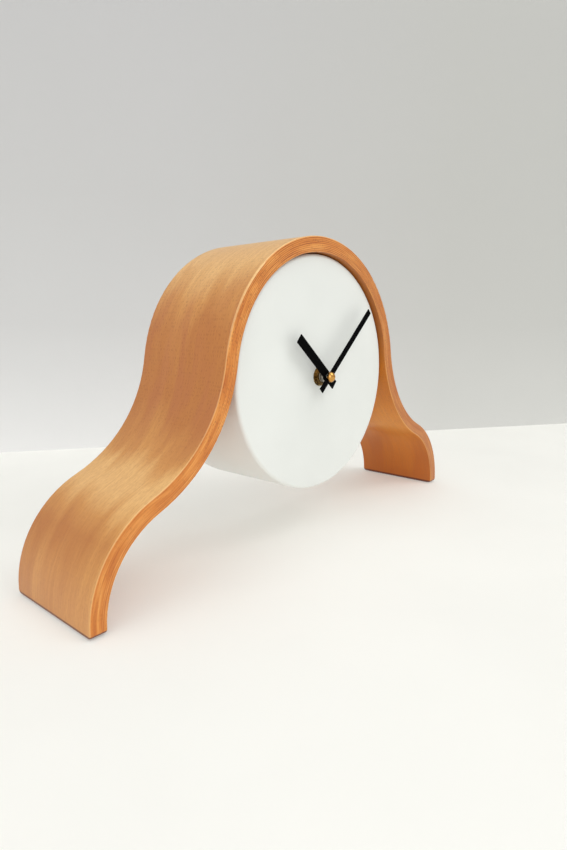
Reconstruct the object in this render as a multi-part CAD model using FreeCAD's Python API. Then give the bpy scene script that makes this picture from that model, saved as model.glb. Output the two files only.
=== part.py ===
import FreeCAD, Part
import math
import os

# Desk clock: a bent laminated wooden ribbon carries a white drum under its crown, and the
# drum's closed front is the dial. A quartz movement is clamped behind the dial by its bushing.
# Millimetres, +Z up, the dial faces -Y. The origin is on the floor, at the middle of the
# clock's length and at the middle of its depth from the hand nut to the ribbon's back.

VECTOR = FreeCAD.Vector
ALONG_Y = VECTOR(0, 1, 0)
FULL_TURN = 360.0
HALF_TURN = 180.0
QUARTER_TURN = 90.0
ANGLE_DIGITS = 6

# Ribbon, measured on the middle of its thickness
ribbon_thickness = 10.8
ribbon_depth = 87.0
crown_radius = 95.5
crown_angle = 79.7
waist_radius = 106.6
waist_angle = 56.8
foot_radius = 70.3
ribbon_arris = 1.0
toe_corner_radius = 3.0

# Foot pads
pad_thickness = 0.8
pad_inset = 1.5
pad_corner = 2.0

# Drum
drum_gap = 2.1
drum_depth = 81.5
drum_wall = 5.0
dial_thickness = 6.0
dial_recess = 4.0
dial_edge_radius = 2.6
drum_corner_radius = 4.0
crown_gap = 0.6

# Screws that hang the drum from the crown
screw_angle = 28.0
screw_shank_radius = 1.75
screw_hole_radius = 2.2
screw_bite = 7.0
screw_point_length = 3.0
screw_head_radius = 3.6
screw_head_height = 2.3
screw_head_chamfer = 0.7
screw_recess_width = 0.9
screw_recess_depth = 1.2
cushion_radius = 4.6
cushion_thickness = 1.5
screw_inset = 20.0

# Play
fit_clearance = 0.05
loose_clearance = 0.1
end_play = 0.3
overrun = 1.0

# Movement housing: how far its train chamber reaches below and above the hand axis
chamber_drop = 11.1
chamber_rise = 26.7
case_corner = 3.0
front_wall = 1.5
side_wall = 1.3
cover_thickness = 1.5
cover_lip_width = 0.9
cover_lip_depth = 1.2
battery_wall = 1.0

# Battery, a standard AA cell lying across the bottom of the housing
battery_radius = 7.1
battery_length = 49.2
battery_nub_radius = 2.75
battery_nub_length = 1.3
battery_edge = 0.8
battery_play = 0.2
battery_rear_gap = 0.6
finger_notch_width = 18.0

# Bushing, gasket, washer and nut at the dial
bushing_radius = 4.0
bushing_flange_radius = 8.0
bushing_flange_thickness = 1.0
bushing_tail_radius = 5.0
bushing_reach = 6.0
bushing_chamfer = 0.5
gasket_radius = 9.0
gasket_thickness = 1.0
dial_hole_clearance = 0.15
washer_radius = 7.3
washer_thickness = 0.8
nut_flats = 10.0
nut_sides = 6
nut_thickness = 2.0
nut_chamfer = 0.4

# Hands, measured from their axis
hand_thickness = 0.6
hour_hand_length = 44.8
hour_hand_tail = 10.6
hour_hand_width = 7.2
hour_hand_angle = 310.5
minute_hand_length = 71.5
minute_hand_tail = 14.2
minute_hand_width = 4.7
minute_hand_angle = 47.0
hour_hand_height = 8.1
hand_spacing = 1.0
hour_pipe_radius = 2.55
hour_pipe_end = 0.2
hour_collet_radius = 3.4
hour_collet_height = 1.6
minute_arbor_radius = 1.6
minute_tip_radius = 1.3
minute_collet_radius = 2.4
minute_collet_height = 0.5
cap_nut_radius = 4.0
cap_nut_skirt = 1.3
cap_nut_dome = 2.7
cap_nut_bore_depth = 2.4

# Wheel train: modules, tooth counts and tooth form
train_module = 0.3
fourth_module = 0.35
motion_module = 0.35
pinion_teeth = 8
centre_teeth = 64
third_teeth = 60
fourth_teeth = 40
fast_teeth = 48
cannon_teeth = 12
motion_teeth = 36
motion_pinion_teeth = 10
hour_teeth = 40
addendum_share = 0.8
dedendum_share = 1.15
backlash_share = 0.16
pressure_angle = 20.0

# Wheel train: where each arbor stands round the one it meshes with, clockwise from 12
third_angle = 306.9
motion_angle = 50.0
setting_angle = 125.0
fast_angle = 17.4
rotor_angle = 77.6

# Wheel train: thicknesses and the levels of the wheels behind the front wall's inner face
wheel_thickness = 0.8
motion_wheel_thickness = 1.0
pinion_length = 1.3
motion_pinion_length = 1.2
cannon_length = 1.5
hour_wheel_level = 0.5
centre_wheel_level = 3.7
third_wheel_level = 6.1
fourth_wheel_level = 7.5
fast_wheel_level = 9.5
pinion_lead = 0.2
arbor_radius = 0.5
pivot_radius = 0.4
pivot_length = 0.5
pivot_hole_depth = 0.8
third_boss_height = 3.1
stud_radius = 0.7
stud_height = 3.1
boss_radius = 1.3
bearing_level = 10.8
hub_radius = 1.1
wheel_window_radius = 1.5
wheel_window_count = 5

# Train plate on four posts
plate_level = 5.0
plate_thickness = 0.8
post_radius = 1.5
peg_radius = 0.8
pinion_passage_radius = 1.9
setting_passage_radius = 2.9
stator_pad_radius = 1.5
stator_pad_height = 0.9

# Posts of the train plate, measured from the hand axis
low_post_across = 15.5
low_post_drop = 8.5
left_post_across = 5.9
left_post_rise = 19.0
right_post_across = 16.0
right_post_rise = 16.5

# Motor
magnet_radius = 2.5
magnet_thickness = 1.6
magnet_level = 6.3
stator_thickness = 0.8
stator_hole_radius = 3.1
stator_ring_radius = 5.2
stator_arm_width = 3.6
coil_wall_gap = 1.5
coil_half_span = 6.5
coil_centre_z = 12.0
coil_flange_radius = 3.2
coil_flange_thickness = 0.7
coil_winding_radius = 2.8
coil_core_width = 2.0
coil_core_thickness = 1.0
coil_arm_gap = 0.7
coil_tube_radius = 1.6

# Circuit, on a board between the housing's left wall and the coil
board_wall_gap = 2.7
board_coil_gap = 6.8
board_height = 5.8
board_thickness = 0.8
board_level = 8.5
board_margin = 0.4
board_post_radius = 1.2
board_post_inset = 4.0
crystal_radius = 1.0
crystal_length = 6.0
crystal_inset = 10.0
chip_radius = 2.2
chip_height = 1.0
chip_inset = 13.0
contact_thickness = 0.4
contact_width = 3.5
contact_gap = 0.1
contact_spring = 0.95
contact_bump_radius = 3.0
contact_tab_height = 2.2
contact_tab_thickness = 0.3
contact_board_overlap = 3.0
contact_notch = 0.3

# Setting knob
setting_arbor_radius = 0.7
setting_boss_height = 1.2
knob_radius = 5.0
knob_thickness = 3.5
knob_gap = 0.3
knob_flute_count = 18
knob_flute_depth = 0.45
knob_dimple_radius = 2.6
knob_dimple_depth = 0.8


def along(angle):
    """Unit vector at a clock angle, clockwise from 12, in the plane of the dial."""
    turn = math.radians(angle)
    return VECTOR(math.sin(turn), 0, math.cos(turn))


# The ribbon's lean where the waist arc ends, and the size of its centre line
lean_angle = crown_angle - waist_angle


def sine(angle):
    return math.sin(math.radians(angle))


def cosine(angle):
    return math.cos(math.radians(angle))


centreline_height = (crown_radius * (1 - cosine(crown_angle))
                     + waist_radius * (cosine(lean_angle) - cosine(crown_angle))
                     + foot_radius * cosine(lean_angle))
centreline_half_width = (crown_radius * sine(crown_angle)
                         + waist_radius * (sine(crown_angle) - sine(lean_angle))
                         + foot_radius * (1 - sine(lean_angle)))

# Heights and depths of the whole clock
crown_centre_z = pad_thickness + centreline_height - crown_radius
crown_inner_radius = crown_radius - ribbon_thickness / 2
drum_radius = crown_inner_radius - drum_gap
axis_z = crown_centre_z + drum_gap - crown_gap
minute_hand_height = hour_hand_height + hand_thickness + hand_spacing
cap_nut_height = minute_hand_height + hand_thickness
nut_reach = cap_nut_height + cap_nut_skirt + cap_nut_dome
front_overhang = nut_reach - dial_recess
ribbon_front_y = (front_overhang - ribbon_depth) / 2
dial_y = ribbon_front_y + dial_recess
dial_back_y = dial_y + dial_thickness
case_y = dial_back_y + gasket_thickness + bushing_flange_thickness
case_depth = front_wall + battery_play + battery_radius * 2 + battery_rear_gap
inner_y = case_y + front_wall
case_back_y = case_y + case_depth
cover_y = case_back_y - cover_thickness
bearing_y = inner_y + bearing_level
plate_y = inner_y + plate_level
plate_back_y = plate_y + plate_thickness
stator_y = plate_back_y + stator_pad_height
board_y = inner_y + board_level
board_back_y = board_y + board_thickness

# Mesh distances of the train
motion_distance = (cannon_teeth + motion_teeth) * motion_module / 2
third_distance = (centre_teeth + pinion_teeth) * train_module / 2
third_module = third_distance * 2 / (third_teeth + pinion_teeth)
hour_module = motion_distance * 2 / (hour_teeth + motion_pinion_teeth)
setting_distance = (motion_teeth + cannon_teeth) * motion_module / 2
fast_distance = (fourth_teeth + pinion_teeth) * fourth_module / 2
rotor_distance = (fast_teeth + pinion_teeth) * train_module / 2

# Arbor places in the plane of the dial
axis_place = VECTOR(0, 0, axis_z)
third_place = axis_place + along(third_angle) * third_distance
motion_place = axis_place + along(motion_angle) * motion_distance
setting_place = motion_place + along(setting_angle) * setting_distance
fast_place = axis_place + along(fast_angle) * fast_distance
rotor_place = fast_place + along(rotor_angle) * rotor_distance

# Battery and housing places. The battery bay lies under the floor of the train chamber.
battery_reach = (battery_length + battery_nub_length) / 2
inner_half = battery_reach + contact_spring + contact_thickness + contact_gap
case_width = (inner_half + side_wall) * 2
train_floor_z = axis_z - chamber_drop
chamber_top_z = axis_z + chamber_rise
case_top_z = chamber_top_z + side_wall
battery_top_z = train_floor_z - battery_wall
battery_z = battery_top_z - battery_play - battery_radius
bay_floor_z = battery_z - battery_radius - battery_play
case_bottom_z = bay_floor_z - side_wall
battery_y = inner_y + battery_play + battery_radius


def at_height(height):
    """The Y of a point this far in front of the dial."""
    return dial_y - height


def disc(place, y, radius, length):
    """A cylinder along +Y that starts at y."""
    return Part.makeCylinder(radius, length, VECTOR(place.x, y, place.z), ALONG_Y)


def ring(place, y, radius, bore, length):
    tool = disc(place, y - overrun, bore, length + overrun * 2)
    return disc(place, y, radius, length).cut(tool)


def block(x, y, z, width, depth, height):
    return Part.makeBox(width, depth, height, VECTOR(x, y, z))


def fused(pieces):
    return pieces[0].multiFuse(pieces[1:]).removeSplitter()


def save(shape, node):
    shape.exportStep("parts/" + node + ".step")


def arc_between(start, middle, end):
    return Part.Arc(start, middle, end).toShape()


def line_between(start, end):
    return Part.LineSegment(start, end).toShape()


def ribbon_arcs(offset):
    """Right half of the ribbon's outline at an offset from its middle line, crown to foot."""
    y = ribbon_front_y
    crown = VECTOR(0, y, crown_centre_z)
    waist = crown + along(crown_angle) * (crown_radius + waist_radius)
    foot = waist - along(lean_angle) * (waist_radius + foot_radius)
    points = []
    for centre, radius, start, end in (
            (crown, crown_radius + offset, 0, crown_angle),
            (waist, offset - waist_radius, crown_angle, lean_angle),
            (foot, foot_radius + offset, lean_angle, QUARTER_TURN)):
        middle = (start + end) / 2
        points.append([centre + along(angle) * radius for angle in (start, middle, end)])
    return points


def mirrored(point):
    return VECTOR(-point.x, point.y, point.z)


def ribbon_edges(offset):
    """Edges of one face of the ribbon, and the point where it ends at the right foot."""
    crown, waist, foot = ribbon_arcs(offset)
    over = arc_between(crown[2], crown[0], mirrored(crown[2]))
    edges = [over]
    for start, middle, end in (waist, foot):
        edges.append(arc_between(start, middle, end))
        edges.append(arc_between(mirrored(start), mirrored(middle), mirrored(end)))
    return edges, foot[2]


def lies_across(edge):
    """Whether an edge runs straight along X."""
    return round(abs(edge.tangentAt(edge.FirstParameter).x), ANGLE_DIGITS) == 1


def make_arch_ribbon():
    half = ribbon_thickness / 2
    outer, outer_toe = ribbon_edges(half)
    inner, inner_toe = ribbon_edges(-half)
    soles = [line_between(outer_toe, inner_toe),
             line_between(mirrored(outer_toe), mirrored(inner_toe))]
    wire = Part.Wire(Part.__sortEdges__(outer + inner + soles))
    body = Part.Face(wire).extrude(ALONG_Y * ribbon_depth)
    body = body.makeFillet(toe_corner_radius, [edge for edge in body.Edges if lies_across(edge)])
    body = body.makeFillet(ribbon_arris, [edge for edge in body.Edges if not lies_across(edge)])
    for place, direction in screw_axes():
        start = place + direction * drum_radius
        reach = screw_start_to_point() - drum_radius
        body = body.cut(Part.makeCylinder(screw_shank_radius + fit_clearance, reach, start, direction))
    return body


def screw_axes():
    """Where each drum screw's axis crosses the drum's own axis, and which way it points."""
    places = []
    for angle in (-screw_angle, screw_angle):
        for y in (dial_y + dial_thickness + screw_inset, dial_y + drum_depth - screw_inset):
            places.append((VECTOR(0, y, axis_z), along(angle)))
    return places


def screw_start_to_point():
    """Radius at which a screw's point ends, from the drum's axis."""
    return crown_inner_radius + screw_bite


def make_foot_pads():
    width = ribbon_thickness - (ribbon_arris + pad_inset) * 2
    front_inset = toe_corner_radius + pad_inset
    depth = ribbon_depth - front_inset * 2
    pads = []
    for side in (-1, 1):
        middle = side * centreline_half_width
        pad = block(middle - width / 2, ribbon_front_y + front_inset, 0, width, depth, pad_thickness)
        upright = [edge for edge in pad.Edges if edge.tangentAt(edge.FirstParameter).z != 0]
        pads.append(pad.makeFillet(pad_corner, upright))
    return Part.makeCompound(pads)


def rounded_corner(corner, before, after, radius):
    """Arc that rounds a square corner, between unit directions to and from it."""
    start = corner - before * radius
    end = corner + after * radius
    centre = start + after * radius
    middle = centre + (corner - centre).normalize() * radius
    return start, middle, end


def make_dial_drum():
    out = VECTOR(1, 0, 0)
    back = dial_y + drum_depth
    inside = drum_radius - drum_wall
    lip = drum_wall / 2
    face_start = VECTOR(0, dial_y, 0)
    edge = rounded_corner(VECTOR(drum_radius, dial_y, 0), out, ALONG_Y, dial_edge_radius)
    lip_arc = (VECTOR(drum_radius, back - lip, 0), VECTOR(inside + lip, back, 0),
               VECTOR(inside, back - lip, 0))
    corner = rounded_corner(VECTOR(inside, dial_back_y, 0), -ALONG_Y, -out, drum_corner_radius)
    middle = VECTOR(0, dial_back_y, 0)
    edges = [line_between(face_start, edge[0]), arc_between(*edge), line_between(edge[2], lip_arc[0]),
             arc_between(*lip_arc), line_between(lip_arc[2], corner[0]), arc_between(*corner),
             line_between(corner[2], middle), line_between(middle, face_start)]
    drum = Part.Face(Part.Wire(edges)).revolve(VECTOR(0, 0, 0), ALONG_Y, FULL_TURN)
    drum.translate(axis_place)
    hole = disc(axis_place, dial_y - overrun, bushing_radius + dial_hole_clearance,
                dial_thickness + overrun * 2)
    drum = drum.cut(hole)
    for place, direction in screw_axes():
        start = place + direction * (inside - overrun)
        length = drum_wall + overrun * 2
        drum = drum.cut(Part.makeCylinder(screw_hole_radius, length, start, direction))
    return drum


def make_drum_screws():
    screws = []
    inside = drum_radius - drum_wall
    for place, direction in screw_axes():
        seat = inside - cushion_thickness
        cone_start = screw_start_to_point() - screw_point_length
        shank = Part.makeCylinder(screw_shank_radius, cone_start - seat, place + direction * seat, direction)
        cone = Part.makeCone(screw_shank_radius, 0, screw_point_length, place + direction * cone_start,
                             direction)
        head_start = place + direction * (seat - screw_head_height)
        head = Part.makeCylinder(screw_head_radius, screw_head_height, head_start, direction)
        rim = [edge for edge in head.Edges if edge.Closed and abs(
            (edge.CenterOfMass - head_start).dot(direction)) < screw_head_height / 2]
        head = head.makeChamfer(screw_head_chamfer, rim)
        screw = fused([head, shank, cone])
        for turn in (0, QUARTER_TURN):
            slot = Part.makeBox(screw_recess_width, screw_head_radius, screw_recess_depth + overrun,
                                VECTOR(-screw_recess_width / 2, -screw_head_radius / 2, -overrun))
            slot.rotate(VECTOR(0, 0, 0), VECTOR(0, 0, 1), turn)
            slot.rotate(VECTOR(0, 0, 0), ALONG_Y, math.degrees(math.atan2(direction.x, direction.z)))
            slot.translate(head_start)
            screw = screw.cut(slot)
        screws.append(screw)
    return Part.makeCompound(screws)


def make_screw_cushions():
    """Soft washers inside the drum, one under each screw head."""
    inside = drum_radius - drum_wall
    bore_of_drum = disc(axis_place, dial_y, inside, drum_depth)
    cushions = []
    for place, direction in screw_axes():
        start = place + direction * (inside - cushion_thickness)
        outer = Part.makeCylinder(cushion_radius, cushion_thickness + overrun, start, direction)
        bore = Part.makeCylinder(screw_shank_radius + loose_clearance, cushion_thickness + overrun * 2,
                                 start - direction * overrun, direction)
        cushions.append(outer.common(bore_of_drum).cut(bore))
    return Part.makeCompound(cushions)


def make_drum_spacers():
    """Soft washers that fill the gap between the drum and the crown at each screw."""
    crown_place = VECTOR(0, 0, crown_centre_z)
    crown_bore = disc(crown_place, ribbon_front_y, crown_inner_radius, ribbon_depth)
    drum_body = disc(axis_place, ribbon_front_y - overrun, drum_radius, ribbon_depth + overrun * 2)
    spacers = []
    for place, direction in screw_axes():
        start = place + direction * (drum_radius - overrun)
        length = crown_inner_radius - drum_radius + overrun * 2
        outer = Part.makeCylinder(cushion_radius, length, start, direction)
        bore = Part.makeCylinder(screw_shank_radius + loose_clearance, length + overrun, start, direction)
        spacers.append(outer.common(crown_bore).cut(drum_body).cut(bore))
    return Part.makeCompound(spacers)


def tooth_half_angle(radius, pitch_radius, teeth):
    """Half the angle that a tooth fills at a radius, in degrees, from the involute."""
    base = pitch_radius * cosine(pressure_angle)
    slope = math.acos(min(1.0, base / max(radius, base)))
    at_pitch = math.radians(pressure_angle)
    spread = (math.tan(at_pitch) - at_pitch) - (math.tan(slope) - slope)
    return HALF_TURN / teeth * (1 - backlash_share) / 2 + math.degrees(spread)


def gear(place, y, module, teeth, thickness, phase):
    """A toothed disc whose first tooth points at the clock angle phase."""
    pitch_radius = module * teeth / 2
    tip = pitch_radius + module * addendum_share
    root = pitch_radius - module * dedendum_share
    tip_half = tooth_half_angle(tip, pitch_radius, teeth)
    root_half = tooth_half_angle(root, pitch_radius, teeth)
    centre = VECTOR(place.x, y, place.z)
    points = []
    for tooth in range(teeth):
        angle = phase + tooth * FULL_TURN / teeth
        points.append(centre + along(angle - root_half) * root)
        points.append(centre + along(angle - tip_half) * tip)
        points.append(centre + along(angle + tip_half) * tip)
        points.append(centre + along(angle + root_half) * root)
    outline = Part.makePolygon(points + points[:1])
    return Part.Face(outline).extrude(ALONG_Y * thickness)


def meshed_phase(driver_phase, driver_teeth, bearing, teeth):
    """Phase of a gear that stands at a bearing from its driver, teeth in the driver's gaps."""
    driver_share = (bearing - driver_phase) * driver_teeth / FULL_TURN
    return bearing + HALF_TURN - (0.5 - driver_share) * FULL_TURN / teeth


def windows(place, y, rim_radius, thickness):
    """Round lightening holes of a wheel."""
    holes = []
    for index in range(wheel_window_count):
        spot = place + along(index * FULL_TURN / wheel_window_count) * (rim_radius / 2 + hub_radius / 2)
        holes.append(disc(spot, y - overrun, wheel_window_radius, thickness + overrun * 2))
    return holes


# Phases of the train, each worked out from the gear that it meshes with
cannon_phase = 0.0
centre_phase = 0.0
motion_phase = meshed_phase(cannon_phase, cannon_teeth, motion_angle, motion_teeth)
motion_pinion_phase = 0.0
hour_phase = meshed_phase(motion_pinion_phase, motion_pinion_teeth, motion_angle + HALF_TURN, hour_teeth)
setting_phase = meshed_phase(motion_phase, motion_teeth, setting_angle, cannon_teeth)
third_pinion_phase = meshed_phase(centre_phase, centre_teeth, third_angle, pinion_teeth)
third_phase = 0.0
fourth_pinion_phase = meshed_phase(third_phase, third_teeth, third_angle + HALF_TURN, pinion_teeth)
fourth_phase = 0.0
fast_pinion_phase = meshed_phase(fourth_phase, fourth_teeth, fast_angle, pinion_teeth)
fast_phase = 0.0
rotor_phase = meshed_phase(fast_phase, fast_teeth, rotor_angle, pinion_teeth)


def make_hour_wheel():
    y = inner_y + hour_wheel_level
    wheel = gear(axis_place, y, hour_module, hour_teeth, wheel_thickness, hour_phase)
    pipe_front = at_height(hour_hand_height + hand_thickness + hour_pipe_end)
    pipe = disc(axis_place, pipe_front, hour_pipe_radius, y + wheel_thickness - pipe_front)
    bore = disc(axis_place, pipe_front - overrun, minute_arbor_radius + fit_clearance,
                y + wheel_thickness - pipe_front + overrun * 2)
    return fused([wheel, pipe]).cut(bore)


def make_hand(length, tail, width, angle, y, bore):
    blade = block(-width / 2, y, -tail, width, hand_thickness, length + tail)
    blade.rotate(VECTOR(0, 0, 0), ALONG_Y, angle)
    blade.translate(axis_place)
    hole = disc(axis_place, y - overrun, bore, hand_thickness + overrun * 2)
    return blade, hole


def make_hour_hand():
    y = at_height(hour_hand_height + hand_thickness)
    blade, hole = make_hand(hour_hand_length, hour_hand_tail, hour_hand_width, hour_hand_angle, y,
                            hour_pipe_radius)
    collet = ring(axis_place, y + hand_thickness, hour_collet_radius, hour_pipe_radius, hour_collet_height)
    return fused([blade.cut(hole), collet])


def make_minute_hand():
    y = at_height(minute_hand_height + hand_thickness)
    blade, hole = make_hand(minute_hand_length, minute_hand_tail, minute_hand_width, minute_hand_angle, y,
                            minute_tip_radius)
    collet = ring(axis_place, y + hand_thickness, minute_collet_radius, minute_arbor_radius,
                  minute_collet_height)
    return fused([blade.cut(hole), collet])


def domed_disc(place, base_y, radius, skirt, dome, way):
    """A disc with a domed face that rises along +Y (way 1) or -Y (way -1) from its base."""
    dome_radius = (radius ** 2 + dome ** 2) / (dome * 2)
    rise = math.degrees(math.asin(radius / dome_radius)) / 2
    base = VECTOR(0, base_y, 0)
    top = VECTOR(0, base_y + (skirt + dome) * way, 0)
    rim = VECTOR(radius, base_y + skirt * way, 0)
    middle = top + VECTOR(dome_radius * sine(rise), -dome_radius * (1 - cosine(rise)) * way, 0)
    edges = [arc_between(rim, middle, top), line_between(top, base)]
    foot = VECTOR(radius, base_y, 0)
    edges.append(line_between(base, foot))
    if skirt:
        edges.append(line_between(foot, rim))
    body = Part.Face(Part.Wire(edges)).revolve(VECTOR(0, 0, 0), ALONG_Y, FULL_TURN)
    body.translate(place)
    return body


def make_cap_nut():
    base_y = at_height(cap_nut_height)
    nut = domed_disc(axis_place, base_y, cap_nut_radius, cap_nut_skirt, cap_nut_dome, -1)
    return nut.cut(disc(axis_place, base_y - cap_nut_bore_depth, minute_tip_radius,
                        cap_nut_bore_depth + overrun))


def make_minute_arbor():
    shoulder = at_height(minute_hand_height)
    tip = at_height(cap_nut_height + cap_nut_bore_depth)
    rear = inner_y + centre_wheel_level + wheel_thickness + pinion_lead
    return fused([disc(axis_place, shoulder, minute_arbor_radius, rear - shoulder),
                  disc(axis_place, tip, minute_tip_radius, shoulder - tip)])


def make_centre_wheel():
    y = inner_y + centre_wheel_level
    cannon_y = inner_y + hour_wheel_level + wheel_thickness + end_play
    cannon = gear(axis_place, cannon_y, motion_module, cannon_teeth, cannon_length, cannon_phase)
    hub = disc(axis_place, cannon_y + cannon_length, minute_arbor_radius + hub_radius / 2,
               y - cannon_y - cannon_length)
    wheel = gear(axis_place, y, train_module, centre_teeth, wheel_thickness, centre_phase)
    rim = train_module * centre_teeth / 2
    bore = disc(axis_place, cannon_y - overrun, minute_arbor_radius, y - cannon_y + overrun * 2)
    solid = fused([cannon, hub, wheel]).cut(bore)
    for hole in windows(axis_place, y, rim, wheel_thickness):
        solid = solid.cut(hole)
    return solid


def make_motion_wheel():
    wheel_y = inner_y + hour_wheel_level + wheel_thickness + end_play + pinion_lead
    pinion_y = inner_y + end_play
    pinion = gear(motion_place, pinion_y, hour_module, motion_pinion_teeth, wheel_y - pinion_y,
                  motion_pinion_phase)
    wheel = gear(motion_place, wheel_y, motion_module, motion_teeth, motion_wheel_thickness, motion_phase)
    bore = disc(motion_place, inner_y, stud_radius + fit_clearance, bearing_level)
    return fused([pinion, wheel]).cut(bore)


def arbored_wheel(place, wheel_level, wheel_module, wheel_teeth, wheel_phase, pinion_level, pinion_module,
                  pinion_phase, front_level):
    """A wheel and pinion moulded on one arbor, with a pivot at each end."""
    wheel_y = inner_y + wheel_level
    wheel = gear(place, wheel_y, wheel_module, wheel_teeth, wheel_thickness, wheel_phase)
    pinion_y = inner_y + pinion_level
    pinion = gear(place, pinion_y, pinion_module, pinion_teeth, pinion_length, pinion_phase)
    front = inner_y + front_level
    rear = bearing_y - end_play
    arbor = disc(place, front, arbor_radius, rear - front)
    front_pivot = disc(place, front - pivot_length - end_play, pivot_radius, pivot_length + end_play)
    rear_pivot = disc(place, rear, pivot_radius, pivot_length + end_play)
    return fused([wheel, pinion, arbor, front_pivot, rear_pivot])


def make_third_wheel():
    wheel = arbored_wheel(third_place, third_wheel_level, third_module, third_teeth, third_phase,
                          centre_wheel_level - pinion_lead, train_module, third_pinion_phase,
                          third_boss_height + end_play)
    rim = third_module * third_teeth / 2
    for hole in windows(third_place, inner_y + third_wheel_level, rim, wheel_thickness):
        wheel = wheel.cut(hole)
    return wheel


def make_fourth_wheel():
    return arbored_wheel(axis_place, fourth_wheel_level, fourth_module, fourth_teeth, fourth_phase,
                         third_wheel_level - pinion_lead, third_module, fourth_pinion_phase,
                         plate_level + plate_thickness + pinion_lead)


def make_fast_wheel():
    return arbored_wheel(fast_place, fast_wheel_level, train_module, fast_teeth, fast_phase,
                         fourth_wheel_level - pinion_lead, fourth_module, fast_pinion_phase,
                         plate_level + plate_thickness + pinion_lead)


def make_rotor_pinion():
    pinion_y = inner_y + fast_wheel_level - pinion_lead
    pinion = gear(rotor_place, pinion_y, train_module, pinion_teeth, pinion_length, rotor_phase)
    front = plate_back_y + pinion_lead
    rear = bearing_y - end_play
    arbor = disc(rotor_place, front, arbor_radius, rear - front)
    front_pivot = disc(rotor_place, front - pivot_length - end_play, pivot_radius, pivot_length + end_play)
    rear_pivot = disc(rotor_place, rear, pivot_radius, pivot_length + end_play)
    return fused([pinion, arbor, front_pivot, rear_pivot])


def make_rotor_magnet():
    return ring(rotor_place, inner_y + magnet_level, magnet_radius, arbor_radius, magnet_thickness)


def make_setting_knob():
    pinion_y = inner_y + hour_wheel_level + wheel_thickness + end_play
    pinion = gear(setting_place, pinion_y, motion_module, cannon_teeth, cannon_length, setting_phase)
    arbor_y = inner_y + setting_boss_height + end_play
    knob_y = case_back_y + knob_gap
    arbor = disc(setting_place, arbor_y, setting_arbor_radius, knob_y - arbor_y)
    pivot = disc(setting_place, arbor_y - pivot_length - end_play, pivot_radius, pivot_length + end_play)
    points = []
    centre = VECTOR(setting_place.x, knob_y, setting_place.z)
    for flute in range(knob_flute_count):
        angle = flute * FULL_TURN / knob_flute_count
        points.append(centre + along(angle) * knob_radius)
        points.append(centre + along(angle + HALF_TURN / knob_flute_count) * (knob_radius - knob_flute_depth))
    knob = Part.Face(Part.makePolygon(points + points[:1])).extrude(ALONG_Y * knob_thickness)
    dimple = disc(setting_place, knob_y + knob_thickness - knob_dimple_depth, knob_dimple_radius, overrun)
    return fused([pinion, arbor, pivot, knob.cut(dimple)])


def rounded_prism(left, bottom, width, height, y, depth, radius):
    solid = block(left, y, bottom, width, depth, height)
    along_depth = [edge for edge in solid.Edges if edge.tangentAt(edge.FirstParameter).y != 0]
    return solid.makeFillet(radius, along_depth)


def post_places():
    """Feet of the train plate: lower left, lower right, upper left, upper right."""
    return [axis_place + VECTOR(-low_post_across, 0, -low_post_drop),
            axis_place + VECTOR(low_post_across, 0, -low_post_drop),
            axis_place + VECTOR(-left_post_across, 0, left_post_rise),
            axis_place + VECTOR(right_post_across, 0, right_post_rise)]


def plate_hull(y, thickness, margin):
    """A plate that covers all four posts, round ended over each one."""
    places = post_places()
    order = [places[0], places[2], places[3], places[1]]
    outline = Part.Face(Part.makePolygon([VECTOR(spot.x, y, spot.z) for spot in order + order[:1]]))
    pieces = [outline.extrude(ALONG_Y * thickness)]
    for start, end in zip(order, order[1:] + order[:1]):
        pieces.append(strip(start, end, y, margin * 2, thickness))
    return fused(pieces)


def strip(start, end, y, width, thickness):
    """A flat bar with round ends from one place to another."""
    reach = end - start
    bar = block(-width / 2, y, 0, width, thickness, reach.Length)
    bar.rotate(VECTOR(0, 0, 0), ALONG_Y, math.degrees(math.atan2(reach.x, reach.z)))
    bar.translate(VECTOR(start.x, 0, start.z))
    return fused([bar, disc(start, y, width / 2, thickness), disc(end, y, width / 2, thickness)])


def make_train_plate():
    plate = plate_hull(plate_y, plate_thickness, post_radius)
    for spot in stator_pad_places():
        plate = plate.fuse(disc(spot, plate_y, stator_pad_radius, plate_thickness + stator_pad_height))
    plate = plate.removeSplitter()
    holes = [(spot, peg_radius + fit_clearance) for spot in post_places()]
    holes += [(spot, pivot_radius + fit_clearance) for spot in (axis_place, fast_place, rotor_place)]
    holes += [(third_place, pinion_passage_radius), (setting_place, setting_passage_radius)]
    for spot, radius in holes:
        plate = plate.cut(disc(spot, plate_y - overrun, radius, plate_thickness + overrun * 2))
    return plate


def coil_place(height):
    return axis_place + VECTOR(inner_half - coil_wall_gap - coil_flange_radius, 0, height)


def stator_route():
    """Ends and elbows of the stator's two arms, upper then lower."""
    reach = coil_half_span + coil_arm_gap + stator_arm_width / 2
    routes = []
    for side in (1, -1):
        end = coil_place(coil_centre_z + side * reach)
        routes.append((end - VECTOR(coil_flange_radius + stator_arm_width, 0, 0), end))
    return routes


def stator_pad_places():
    return [(rotor_place + elbow) / 2 for elbow, end in stator_route()]


def make_stator():
    pieces = [disc(rotor_place, stator_y, stator_ring_radius, stator_thickness)]
    for elbow, end in stator_route():
        pieces.append(strip(rotor_place, elbow, stator_y, stator_arm_width, stator_thickness))
        pieces.append(strip(elbow, end, stator_y, stator_arm_width, stator_thickness))
    hole = disc(rotor_place, stator_y - overrun, stator_hole_radius, stator_thickness + overrun * 2)
    return fused(pieces).cut(hole)


def upright_cylinder(place, y, radius, length):
    """A cylinder along Z, its lower end at the place."""
    return Part.makeCylinder(radius, length, VECTOR(place.x, y, place.z), VECTOR(0, 0, 1))


def coil_core_y():
    return stator_y + stator_thickness + coil_core_thickness / 2


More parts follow.
